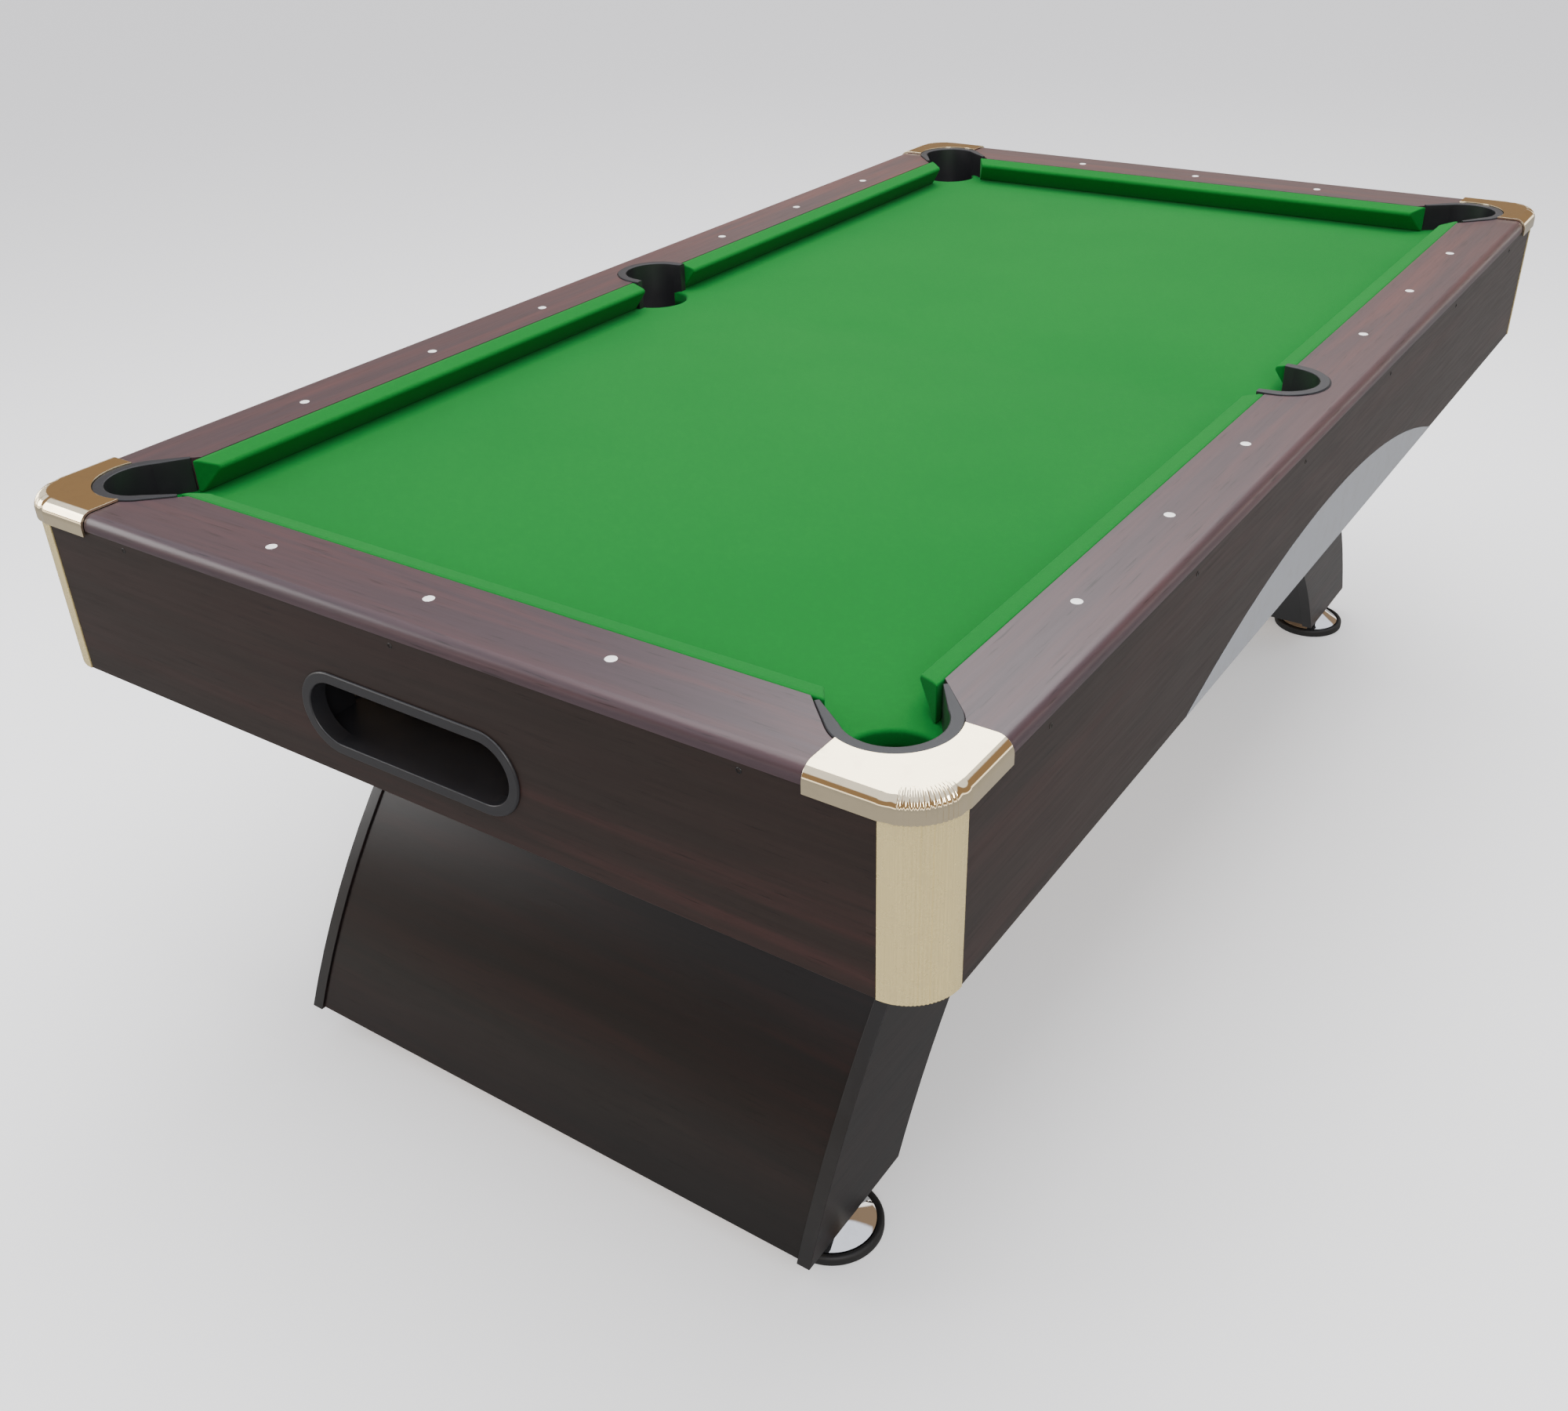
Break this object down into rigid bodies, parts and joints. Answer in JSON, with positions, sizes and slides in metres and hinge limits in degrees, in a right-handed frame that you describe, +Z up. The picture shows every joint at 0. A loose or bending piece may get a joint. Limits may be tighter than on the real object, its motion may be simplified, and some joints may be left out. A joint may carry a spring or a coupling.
{
  "type": "pool table",
  "caption": "Pool table on arched pedestal legs, with green cloth, lipped pockets, gilt corners, a ball return window and screw-in levelling feet.",
  "frame": {"origin": "on the floor, under the middle of the table", "axes": "+Z up, +Y along the table away from the end with the ball window, +X to the right for someone who looks along +Y"},
  "size_m": [1.231, 2.185, 0.8115],
  "materials": {
    "wood_top": "satin dark mahogany laminate",
    "wood_apron": "satin dark mahogany laminate",
    "wood_leg": "satin near-black laminate",
    "black_board": "black melamine",
    "raw_board": "bare fibreboard",
    "green_cloth": "napped billiard cloth",
    "black_plastic": "matte moulded",
    "white_plastic": "glossy rail sights",
    "gilt_chrome": "polished pale gold plating",
    "gilt_satin": "finely ribbed satin gold anodising",
    "silver_sheet": "matte silver grey",
    "chrome": "polished",
    "rubber": "matte black"
  },
  "bodies": {
    "table": {"apron_far": "wood_apron", "apron_left": "wood_apron", "apron_near": "wood_apron", "apron_right": "wood_apron", "ball_channel_left": "black_plastic", "ball_channel_right": "black_plastic", "ball_tray": "black_plastic", "bed_board": "raw_board", "bed_cloth": "green_cloth", "corner_casting_far_left": "gilt_chrome", "corner_casting_far_right": "gilt_chrome", "corner_casting_near_left": "gilt_chrome", "corner_casting_near_right": "gilt_chrome", "corner_trim_far_left": "gilt_satin", "corner_trim_far_right": "gilt_satin", "corner_trim_near_left": "gilt_satin", "corner_trim_near_right": "gilt_satin", "cross_beam_far": "raw_board", "cross_beam_near": "raw_board", "cross_channel_left": "black_plastic", "cross_channel_right": "black_plastic", "cushion_far": "green_cloth", "cushion_left_far": "green_cloth", "cushion_left_near": "green_cloth", "cushion_near": "green_cloth", "cushion_right_far": "green_cloth", "cushion_right_near": "green_cloth", "leg_far_base_board": "raw_board", "leg_far_inner_panel": "black_board", "leg_far_outer_panel": "wood_leg", "leg_far_side_left": "wood_leg", "leg_far_side_right": "wood_leg", "leg_far_top_board": "raw_board", "leg_near_base_board": "raw_board", "leg_near_inner_panel": "black_board", "leg_near_outer_panel": "wood_leg", "leg_near_side_left": "wood_leg", "leg_near_side_right": "wood_leg", "leg_near_top_board": "raw_board", "pocket_cup_far_left": "black_plastic", "pocket_cup_far_right": "black_plastic", "pocket_cup_middle_left": "black_plastic", "pocket_cup_middle_right": "black_plastic", "pocket_cup_near_left": "black_plastic", "pocket_cup_near_right": "black_plastic", "rail_far": "wood_top", "rail_left": "wood_top", "rail_near": "wood_top", "rail_right": "wood_top", "side_inlay_left": "silver_sheet", "side_inlay_right": "silver_sheet", "window_bezel": "black_plastic"},
    "pad_far_left": {"foot_pad_far_left": "rubber"},
    "dish_far_left": {"foot_dish_far_left": "chrome"},
    "pad_far_right": {"foot_pad_far_right": "rubber"},
    "dish_far_right": {"foot_dish_far_right": "chrome"},
    "pad_near_left": {"foot_pad_near_left": "rubber"},
    "dish_near_left": {"foot_dish_near_left": "chrome"},
    "pad_near_right": {"foot_pad_near_right": "rubber"},
    "dish_near_right": {"foot_dish_near_right": "chrome"}
  },
  "joints": [
    {"name": "foot_slide_far_left", "type": "slide", "parent": "table", "child": "pad_far_left", "axis": [0, 0, -1], "range_m": [0, 0.015]},
    {"name": "stem_turn_far_left", "type": "hinge", "parent": "pad_far_left", "child": "dish_far_left", "pos_m": [-0.381, 0.8949, 0], "axis": [0, 0, -1], "range_deg": [0, 3600]},
    {"name": "foot_slide_far_right", "type": "slide", "parent": "table", "child": "pad_far_right", "axis": [0, 0, -1], "range_m": [0, 0.015]},
    {"name": "stem_turn_far_right", "type": "hinge", "parent": "pad_far_right", "child": "dish_far_right", "pos_m": [0.381, 0.8949, 0], "axis": [0, 0, -1], "range_deg": [0, 3600]},
    {"name": "foot_slide_near_left", "type": "slide", "parent": "table", "child": "pad_near_left", "axis": [0, 0, -1], "range_m": [0, 0.015]},
    {"name": "stem_turn_near_left", "type": "hinge", "parent": "pad_near_left", "child": "dish_near_left", "pos_m": [-0.381, -0.8949, 0], "axis": [0, 0, -1], "range_deg": [0, 3600]},
    {"name": "foot_slide_near_right", "type": "slide", "parent": "table", "child": "pad_near_right", "axis": [0, 0, -1], "range_m": [0, 0.015]},
    {"name": "stem_turn_near_right", "type": "hinge", "parent": "pad_near_right", "child": "dish_near_right", "pos_m": [0.381, -0.8949, 0], "axis": [0, 0, -1], "range_deg": [0, 3600]}
  ],
  "couplings": [
    {"joint": "stem_turn_far_left", "follows": "foot_slide_far_left", "rad_per_m": 4188.8},
    {"joint": "stem_turn_far_right", "follows": "foot_slide_far_right", "rad_per_m": 4188.8},
    {"joint": "stem_turn_near_left", "follows": "foot_slide_near_left", "rad_per_m": 4188.8},
    {"joint": "stem_turn_near_right", "follows": "foot_slide_near_right", "rad_per_m": 4188.8}
  ]
}
